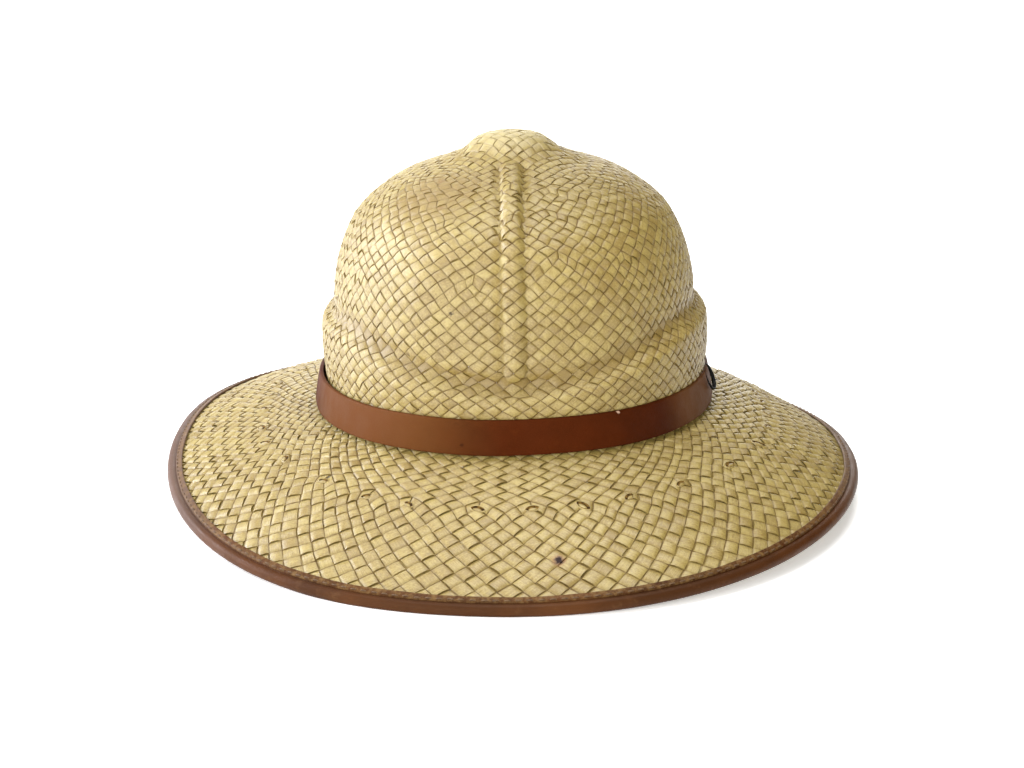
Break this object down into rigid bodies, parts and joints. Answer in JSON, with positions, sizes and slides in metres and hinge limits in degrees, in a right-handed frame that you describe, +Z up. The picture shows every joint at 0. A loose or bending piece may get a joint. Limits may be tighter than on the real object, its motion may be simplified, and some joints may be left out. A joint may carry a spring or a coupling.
{
  "type": "straw sun helmet",
  "caption": "Rigid sun helmet of plaited straw with a domed, buttoned crown, a drooping oval brim bound in leather, a leather hat band and a small side ring.",
  "frame": {"origin": "on the table under the middle of the hat's plan outline", "axes": "+Z up from the table the brim rests on, -Y towards the front of the hat, +X towards the side with the ring"},
  "size_m": [0.2992, 0.3578, 0.1519],
  "materials": {
    "straw": "plaited, satin",
    "band_leather": "smooth, satin",
    "binding_leather": "smooth, worn",
    "ring_black": "gloss"
  },
  "bodies": {
    "root": {"crown": "straw", "brim": "straw", "hat_band": "band_leather", "brim_binding": "binding_leather", "side_ring": "ring_black"}
  },
  "joints": []
}
